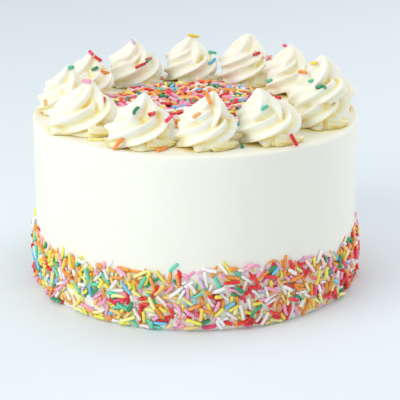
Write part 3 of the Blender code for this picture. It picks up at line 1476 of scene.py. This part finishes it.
@dataclass
class StrandBand:
    """The strands pressed into the side round the foot, ragged on top and bare in patches.

    Strands are tried until all are on or the tries run out, so rather fewer than count go on.
    """

    node: str = "sprinkle_band"
    wall_node: str = "cake_body"
    count: int = 2080
    tries_each: int = 24
    steepest: float = 0.5
    stray_count: int = 28
    sunk: float = 0.0014
    thickest: float = 0.0034
    proud: float = 0.0016
    proud_share: float = 0.01
    foot_gap: float = 0.0003
    edge_fade: float = 0.006
    thin_bearing: float = -48.0
    thin_width: float = 20.0
    thin_below: float = 0.016
    patch_size: float = 0.0062
    outline_steps: int = 84

    def __post_init__(self) -> None:
        """Read the wall's radius and the band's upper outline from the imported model."""
        low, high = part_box(self.wall_node)
        self.wall = (high.x - low.x) / 2.0
        points = points_of(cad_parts[self.node].data)
        upper = points[points[:, 2] > 0.6 * points[:, 2].max()]
        angles = np.arctan2(upper[:, 1], upper[:, 0]) % TAU
        steps = self.outline_steps
        bins = np.round(angles / TAU * steps).astype(int) % steps
        self.outline = np.array([upper[bins == index, 2].max() for index in range(steps)])

    def top_at(self, angle: float) -> float:
        """The height of the band's outline at an angle.

        Args:
            angle: The angle from +X, in radians.

        Returns:
            The height.
        """
        steps = self.outline_steps
        place = (angle % TAU) / TAU * steps
        low = int(place) % steps
        share = place - int(place)
        return float((1.0 - share) * self.outline[low] + share * self.outline[(low + 1) % steps])

    def lay_out(self, chooser: StrandChooser) -> list[Strand]:
        """Press the strands on, one after another.

        Args:
            chooser: Draws each strand.

        Returns:
            The strands in their places.
        """
        around = TAU * self.wall
        bed = Bed(around, 0.060, -self.sunk, wraps=True)
        dice = chooser.dice
        strands: list[Strand] = []
        tries = 0
        while len(strands) < self.count and tries < self.tries_each * self.count:
            tries += 1
            length, radius = chooser.size()
            heading = dice.uniform(0.0, math.pi)
            round_spot = dice.uniform(0.0, around)
            angle = round_spot / self.wall
            top = self.top_at(angle)
            lift = abs(math.sin(heading)) * (length / 2.0 - radius) + radius
            height_spot = dice.uniform(lift + self.foot_gap, top + 0.002)
            if self._bare(angle, height_spot, top, dice.random()):
                continue
            rest, slope = bed.rest((round_spot, height_spot), heading, length, radius)
            limit = self.thickest + (self.proud if dice.random() < self.proud_share else 0.0)
            too_proud = rest + 0.5 * abs(slope) * length > limit - radius
            if too_proud or abs(slope) > self.steepest:
                continue
            bed.lay((round_spot, height_spot), heading, length, radius, rest, slope)
            strands.append(self._on_wall(chooser, angle, height_spot, heading, rest, slope,
                                         length, radius))
        strands += self._strays(chooser)
        return [self._above_foot(strand) for strand in strands]

    def _above_foot(self, strand: Strand) -> Strand:
        """The strand, lifted where it would reach below the cake's foot.

        Args:
            strand: The strand.

        Returns:
            The same strand.
        """
        reach = abs(strand.along.normalized().z) * (strand.length / 2.0 - strand.radius)
        low = strand.middle.z - reach - strand.radius - 0.65 * strand.bend
        strand.middle.z += max(0.0, self.foot_gap - low)
        return strand

    def _bare(self, angle: float, height: float, top: float, chance: float) -> bool:
        """Whether a spot stays bare: often near the outline, and in patches at the front left.

        Args:
            angle: The spot's angle from +X, in radians.
            height: The spot's height.
            top: The band's outline at that angle.
            chance: A draw from 0 to 1.

        Returns:
            Whether no strand goes there.
        """
        bearing = (math.degrees(angle) + 90.0 + 180.0) % 360.0 - 180.0
        thin = math.exp(-((bearing - self.thin_bearing) / self.thin_width) ** 2)
        thin *= 1.0 if height < self.thin_below else 0.30
        spot = Vector((math.cos(angle) * self.wall, math.sin(angle) * self.wall, height))
        patch = 0.5 + 0.9 * noise.noise(spot / self.patch_size)
        near_edge = max(0.0, 1.0 - (top - height) / self.edge_fade)
        return patch < 0.02 + 0.56 * thin or chance < 0.75 * near_edge

    def _on_wall(self, chooser: StrandChooser, angle: float, height: float, heading: float,
                 rest: float, slope: float, length: float, radius: float) -> Strand:
        """A strand that lies against the wall at an angle and height.

        Args:
            chooser: Draws the bend and the colour.
            angle: The angle from +X.
            height: The height of its middle.
            heading: Which way it points on the wall.
            rest: How far its middle is from the wall.
            slope: How steeply it leaves the wall.
            length: Its length.
            radius: Its radius.

        Returns:
            The strand.
        """
        away = level_way(angle)
        level = Vector((-math.sin(angle), math.cos(angle), 0.0))
        middle = away * (self.wall + rest) + Vector((0.0, 0.0, height))
        flat = level * math.cos(heading) + Vector((0.0, 0.0, 1.0)) * math.sin(heading)
        return chooser.strand(middle, flat + away * slope, away, length, radius)

    def _strays(self, chooser: StrandChooser) -> list[Strand]:
        """Single strands stuck to the side above the band.

        Args:
            chooser: Draws each strand.

        Returns:
            The strands in their places.
        """
        dice = chooser.dice
        strands = []
        for _ in range(self.stray_count):
            length, radius = chooser.size()
            angle = dice.uniform(0.0, TAU)
            height = self.top_at(angle) + dice.uniform(0.001, 0.006) * dice.random() + 0.0005
            strands.append(self._on_wall(chooser, angle, height, dice.uniform(0.0, math.pi),
                                         radius - self.sunk, 0.0, length, radius))
        return strands


@dataclass
class StrandHeap:
    """The strands heaped on the top inside the ring of swirls, over a low core.

    Strands are tried until all are on or the tries run out, so rather fewer than count go on.
    """

    node: str = "sprinkle_heap"
    count: int = 760
    tries_each: int = 20
    steepest: float = 0.45
    core_height: float = 0.0012
    core_inset: float = 0.004
    thickest: float = 0.0066
    rim_thickness: float = 0.42
    rim_width: float = 0.030
    over_rim: float = 0.0015
    longer: float = 1.12

    def __post_init__(self) -> None:
        """Read the heap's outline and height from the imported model."""
        points = points_of(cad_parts[self.node].data)
        self.floor = float(points[:, 2].min())
        base = points[points[:, 2] < self.floor + LEVEL_FOOT]
        self.middle = (points[:, :2].min(axis=0) + points[:, :2].max(axis=0)) / 2.0
        offset = base[:, :2] - self.middle
        reach = np.hypot(offset[:, 0], offset[:, 1])
        rim = reach > 0.3 * reach.max()
        angles = np.arctan2(offset[rim, 1], offset[rim, 0]) % TAU
        order = angles.argsort()
        self.rim_angles = angles[order]
        self.rim_reach = reach[rim][order]

    def reach_at(self, angle: float) -> float:
        """How far the heap reaches from its middle at an angle."""
        return float(np.interp(angle % TAU, self.rim_angles, self.rim_reach, period=TAU))

    def core(self, material: bpy.types.Material) -> bpy.types.Object:
        """A low flat mound under the strands, so that no gap shows through the heap.

        Args:
            material: The frosting.

        Returns:
            The finished piece.
        """
        deselect()
        bpy.ops.mesh.primitive_uv_sphere_add(
            segments=64, ring_count=16, radius=1.0, location=(*self.middle, self.floor))
        mound = bpy.context.object
        settle(mound)
        points = points_of(mound.data)
        offset = points - np.array([*self.middle, self.floor])
        angles = np.arctan2(offset[:, 1], offset[:, 0])
        level = np.hypot(offset[:, 0], offset[:, 1])
        reach = np.array([self.reach_at(angle) for angle in angles]) - self.core_inset
        points[:, 0] = self.middle[0] + np.cos(angles) * level * reach
        points[:, 1] = self.middle[1] + np.sin(angles) * level * reach
        points[:, 2] = self.floor + np.maximum(offset[:, 2], 0.0) * self.core_height
        move_points(mound.data, points)
        mound.data.shade_smooth()
        # Painted shade: the whole mound, which lies under the strands, gets a light yellow tint.
        store_number(mound.data, "hollow", np.full(len(points), 0.35))
        return finish_piece(mound, "heap_core", material)

    def lay_out(self, chooser: StrandChooser) -> list[Strand]:
        """Drop the strands on the top, one after another.

        Args:
            chooser: Draws each strand.

        Returns:
            The strands in their places.
        """
        widest = float(self.rim_reach.max()) + 0.010
        bed = Bed(2.0 * widest, 2.0 * widest, 0.0, wraps=False)
        dice = chooser.dice
        strands: list[Strand] = []
        tries = 0
        while len(strands) < self.count and tries < self.tries_each * self.count:
            tries += 1
            length, radius = chooser.size()
            length *= self.longer
            heading = dice.uniform(0.0, math.pi)
            bearing = dice.uniform(0.0, TAU)
            reach = self.reach_at(bearing)
            far = math.sqrt(dice.random()) * (reach + 0.001)
            x, y = far * math.cos(bearing), far * math.sin(bearing)
            if not self._ends_inside(x, y, heading, length):
                continue
            spot = (x + widest, y + widest)
            rest, slope = bed.rest(spot, heading, length, radius)
            inwards = (reach - far) / self.rim_width
            limit = self.thickest * min(1.0, self.rim_thickness + inwards)
            if rest > limit - radius or abs(slope) > self.steepest:
                continue
            bed.lay(spot, heading, length, radius, rest, slope)
            middle = Vector((self.middle[0] + x, self.middle[1] + y, self.floor + rest))
            along = Vector((math.cos(heading), math.sin(heading), slope))
            strands.append(chooser.strand(middle, along, Vector((0, 0, 1)), length, radius))
        return strands

    def _ends_inside(self, x: float, y: float, heading: float, length: float) -> bool:
        """Whether both ends of a strand stay within the heap's outline, or barely pass it.

        Args:
            x: The middle's place along X.
            y: The middle's place along Y.
            heading: Which way the strand points.
            length: Its length.

        Returns:
            Whether the strand may lie there.
        """
        for way in (-0.5, 0.5):
            end_x = x + way * length * math.cos(heading)
            end_y = y + way * length * math.sin(heading)
            reach = self.reach_at(math.atan2(end_y, end_x))
            if math.hypot(end_x, end_y) > reach + self.over_rim:
                return False
        return True


@dataclass(frozen=True)
class Fallen:
    """A single strand that fell on the frosting.

    The bearing is in degrees from the front, anticlockwise, and the heading in degrees from +X.
    The distance from the middle and the length are in millimetres. A strand with a rise leans
    against a swirl by that many degrees, with its lower end on the cake's top.
    """

    tint: Tint
    bearing: float
    distance: float
    heading: float
    length: float = 8.0
    bend: float = 0.0
    rise: float = 0.0


FALLEN = (
    Fallen(Tint.ORANGE, -26.4, 103, 0, 9.5, 0.6, 50), Fallen(Tint.ORANGE, -12, 95, 48, 9),
    Fallen(Tint.GREEN, 18, 90, 92, 6), Fallen(Tint.RED, 34.8, 103.5, 180, 8.5, 0, 60),
    Fallen(Tint.LEMON, -40, 94.5, 0, 10), Fallen(Tint.APRICOT, -81, 97.5, 90, 6),
    Fallen(Tint.ROSE, -11, 84, 66), Fallen(Tint.GREEN, -22.5, 92.5, 60, 6, 1.0),
    Fallen(Tint.RED, -17, 88, 21, 5), Fallen(Tint.APRICOT, 0.5, 91, 26, 6),
    Fallen(Tint.ORANGE, 5.5, 84, 92, 9), Fallen(Tint.JADE, 27.5, 90, 48, 6),
    Fallen(Tint.ORANGE, 141, 67, 32, 7), Fallen(Tint.RED, 125.5, 61.5, -56, 9, 1.8),
    Fallen(Tint.JADE, 127, 63.5, -18, 5), Fallen(Tint.RED, 117.5, 63, -60, 6),
    Fallen(Tint.ORANGE, 61, 77, -51), Fallen(Tint.JADE, 60.3, 83.3, -31, 4),
    Fallen(Tint.YELLOW, 62.8, 83.2, -18, 5), Fallen(Tint.GREEN, 57.7, 92.7, -40, 8, 2.0),
    Fallen(Tint.ROSE, 130, 80, -76, 7), Fallen(Tint.RED, 147, 77, 47, 7),
    Fallen(Tint.BLUE, 171.5, 80, 60, 9), Fallen(Tint.ORANGE, 196, 84, 100, 9),
    Fallen(Tint.YELLOW, 181, 83, 12, 9), Fallen(Tint.RED, 206, 75, 60, 9),
    Fallen(Tint.GREEN, 208, 71, 77, 6), Fallen(Tint.RED, 213.5, 68, 33, 9),
    Fallen(Tint.LILAC, 211.5, 82, -76, 4), Fallen(Tint.ROSE, 241, 80, -65, 5),
    Fallen(Tint.RED, 240, 76, -25, 6), Fallen(Tint.ORANGE, 238.5, 72, 10, 7),
    Fallen(Tint.GREEN, 244, 75, 28, 5), Fallen(Tint.JADE, 271, 81, 40, 5),
    Fallen(Tint.PINK, -57, 80, -26, 7), Fallen(Tint.RED, -51, 73.5, 75, 5),
)


@dataclass
class FallenStrands:
    """The single strands on the swirls and the top, dropped on the frosting or leant against it."""

    frosting: Sequence[bpy.types.Object]
    sunk: float = 0.0004
    drop_height: float = 0.3
    top_node: str = "cake_body"
    scattered: int = 24

    def lay_out(self, chooser: StrandChooser) -> list[Strand]:
        """Drop the strands at their places, and scatter some more on the far side.

        Args:
            chooser: Draws each strand's thickness, and the scattered ones in full.

        Returns:
            The strands in their places.
        """
        bpy.context.view_layer.update()
        dice = chooser.dice
        strong = [tint for tint in Tint if tint not in (Tint.BLUSH, Tint.WHITE, Tint.LILAC)]
        extra = [Fallen(dice.choice(strong), dice.uniform(100.0, 262.0),
                        dice.uniform(89.0, 103.0), dice.uniform(0.0, 180.0),
                        dice.uniform(5.0, 9.5), dice.choice((0.0, 0.0, 1.4)))
                 for _ in range(self.scattered)]
        return [self._drop(fallen, chooser) for fallen in (*FALLEN, *extra)]

    def _drop(self, fallen: Fallen, chooser: StrandChooser) -> Strand:
        """One strand laid on the skin below its place, or leant against a swirl.

        Args:
            fallen: The strand's place, length and colour.
            chooser: Draws its thickness and the side it bends to.

        Returns:
            The strand.
        """
        bearing = math.radians(fallen.bearing)
        x = fallen.distance * MM * math.sin(bearing)
        y = -fallen.distance * MM * math.cos(bearing)
        level = level_way(math.radians(fallen.heading))
        radius = chooser.size()[1]
        length = fallen.length * MM
        side = chooser.dice.uniform(-0.4, 0.4)
        if fallen.rise:
            rise = math.radians(fallen.rise)
            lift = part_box(self.top_node)[1].z + 0.5 * length * math.sin(rise) + 0.5 * radius
            along = level * math.cos(rise) + Vector((0.0, 0.0, math.sin(rise)))
            return Strand(Vector((x, y, lift)), along, Vector((0.0, -1.0, 0.3)), length, radius,
                          fallen.bend * MM, side, fallen.tint.value)
        touches = [self._skin_below(x + level.x * step, y + level.y * step)
                   for step in (-0.002, 0.0, 0.002)]
        away = sum((normal for _, normal in touches), Vector()).normalized()
        away.z = max(away.z, 0.30)
        away.normalize()
        along = level - away * level.dot(away)
        middle = touches[1][0] + away * (radius - self.sunk)
        return Strand(middle, along, away, length, radius, fallen.bend * MM, side,
                      fallen.tint.value)

    def _skin_below(self, x: float, y: float) -> tuple[Vector, Vector]:
        """The highest spot of the frosting at a place, and which way its skin faces.

        Args:
            x: The place along X.
            y: The place along Y.

        Returns:
            The spot, and the direction.
        """
        best, facing = Vector((x, y, 0.0)), Vector((0.0, 0.0, 1.0))
        for piece in self.frosting:
            found, place, normal, _ = piece.ray_cast(
                Vector((x, y, self.drop_height)), Vector((0.0, 0.0, -1.0)))
            if found and place.z > best.z:
                best, facing = place, normal
        return best, facing


# ------------------------------------------------------------------------------------ the studio


@dataclass(frozen=True)
class SoftLight:
    """A square soft light. Its power is in watts."""

    name: str
    place: Triple
    size: float
    power: float
    color: Color


LIGHTS = (
    SoftLight("window_light", (-1.15, -0.75, 0.95), 1.1, 11.7, (1.0, 0.982, 0.92)),
    SoftLight("bounce_light", (1.35, 0.75, 0.6), 1.0, 7.2, (1.0, 0.99, 0.97)),
    SoftLight("front_light", (-0.10, -1.55, 0.36), 1.0, 1.3, (1.0, 0.99, 0.96)),
    SoftLight("ceiling_light", (0.05, 0.10, 1.55), 1.2, 3.4, (1.0, 0.99, 0.95)),
)


def face(piece: bpy.types.Object, place: Triple, aim: Triple) -> None:
    """Stand a light or a camera at a place, facing a spot."""
    piece.location = place
    piece.rotation_euler = (Vector(aim) - Vector(place)).to_track_quat("-Z", "Y").to_euler()


@dataclass
class Studio:
    """A pale floor, four soft lights, a pale room, and the camera."""

    lens: float = 131.25
    camera_place: Triple = (0.0, -0.92424, 0.36040)
    camera_aim: Triple = (0.00306, 0.0, 0.04870)
    light_aim: Triple = (0.0, 0.0, 0.07)
    floor_size: float = 8.0
    room: Color = (0.94, 0.96, 0.96)
    room_strength: float = 0.655

    def build(self) -> None:
        """Set up the floor, the light and the camera."""
        bpy.context.scene.view_settings.view_transform = "Standard"
        self._floor()
        self._room()
        for light in LIGHTS:
            self._hang(light)
        self._camera()

    def _floor(self) -> None:
        """Lay the floor."""
        deselect()
        bpy.ops.mesh.primitive_plane_add(size=self.floor_size)
        floor = bpy.context.object
        floor.name = "floor"
        floor.data.materials.append(FLOOR_PAINT.material())

    def _room(self) -> None:
        """Fill the room with soft light."""
        world = bpy.data.worlds.new("pale_room")
        world.use_nodes = True
        glow = world.node_tree.nodes["Background"]
        glow.inputs["Color"].default_value = (*self.room, 1.0)
        glow.inputs["Strength"].default_value = self.room_strength
        bpy.context.scene.world = world

    def _hang(self, light: SoftLight) -> None:
        """Hang a soft light that faces the cake.

        Args:
            light: The light.
        """
        data = bpy.data.lights.new(light.name, "AREA")
        data.shape = "SQUARE"
        data.size = light.size
        data.energy = light.power
        data.color = light.color
        face(shown(light.name, data), light.place, self.light_aim)

    def _camera(self) -> None:
        """Stand the camera in front, looking a little down."""
        data = bpy.data.cameras.new("camera")
        data.lens = self.lens
        camera = shown("camera", data)
        face(camera, self.camera_place, self.camera_aim)
        bpy.context.scene.camera = camera


# --------------------------------------------------------------------------------------- the cake


def swirls() -> list[PipedSwirl]:
    """The twelve swirls, anticlockwise from the front left, each begun at its own side.

    Returns:
        The swirls, not yet piped.
    """
    return [
        PipedSwirl("rosette_01", start=185.0, tip_turn=10.0, seed=1),
        PipedSwirl("rosette_02", start=175.0, tip_turn=0.0, peak_turn=30.0, seed=2),
        PipedSwirl("rosette_03", start=165.0, tip_turn=25.0, peak_turn=60.0, seed=3,
                   peak_groove=0.44, blunt=1.2),
        PipedSwirl("rosette_04", start=190.0, tip_turn=40.0, peak_turn=10.0, seed=4, blunt=1.2),
        PipedSwirl("rosette_05", start=200.0, tip_turn=15.0, peak_turn=40.0, seed=5,
                   slope=1.4, blunt=0.9, peak_twist=110.0, fullness=0.98, tail_reach=0.95,
                   coil_rise=0.0165, thickness=0.53, ridge_climb=1.55),
        PipedSwirl("rosette_06", start=210.0, tip_turn=0.0, seed=6, tail_reach=0.86),
        # Swirls 07 to 11 get weaker painted shade than the rest.
        PipedSwirl("rosette_07", start=190.0, tip_turn=30.0, peak_turn=20.0, seed=7,
                   slope=1.3, blunt=2.6, shade_strength=0.7),
        PipedSwirl("rosette_08", start=170.0, tip_turn=20.0, peak_turn=50.0, seed=8,
                   slope=1.3, blunt=3.2, curl=0.002, curl_toward=300.0, shade_strength=0.65),
        PipedSwirl("rosette_09", start=180.0, tip_turn=45.0, peak_turn=70.0, seed=9,
                   slope=1.3, blunt=1.2, curl=0.005, curl_toward=10.0, shade_strength=0.65),
        PipedSwirl("rosette_10", start=200.0, tip_turn=10.0, peak_turn=15.0, seed=10,
                   slope=1.3, blunt=1.0, shade_strength=0.65),
        PipedSwirl("rosette_11", start=160.0, tip_turn=35.0, peak_turn=35.0, seed=11,
                   shade_strength=0.8),
        PipedSwirl("rosette_12", start=180.0, tip_turn=5.0, peak_turn=80.0, seed=12,
                   fullness=0.92),
    ]


def main() -> None:
    """Build the whole cake."""
    logging.basicConfig(level=logging.INFO, format="%(name)s %(message)s")
    smooth = SMOOTH_FROSTING.material()
    piped = PIPED_FROSTING.material()
    sugar = STRAND_SUGAR.material()
    frosting = [FrostedRound().build(smooth)]
    opening = StarTip().opening()
    frosting += [swirl.build(opening, piped) for swirl in swirls()]
    bpy.data.objects.remove(opening)

    mould = StrandMould()
    stick = mould.shape()
    band = StrandBand()
    band_strands = band.lay_out(StrandChooser((LEFT_MIX, RIGHT_MIX), 11, mould))
    finish_piece(mould.cast("band_strands", band_strands, stick), "band_strands", sugar,
                 [band.node])
    heap = StrandHeap()
    heap.core(piped)
    heap_strands = heap.lay_out(
        StrandChooser((HEAP_MIX, HEAP_MIX), 23, mould, lightness=(0.97, 1.20)))
    finish_piece(mould.cast("heap_strands", heap_strands, stick), "heap_strands", sugar,
                 [heap.node])
    fallen = FallenStrands(frosting).lay_out(StrandChooser((HEAP_MIX, HEAP_MIX), 37, mould))
    finish_piece(mould.cast("fallen_strands", fallen, stick), "fallen_strands", sugar)
    LOG.info("strands: %d in the band, %d in the heap, %d fallen", len(band_strands),
             len(heap_strands), len(fallen))

    Studio().build()


if __name__ == "__main__":
    main()
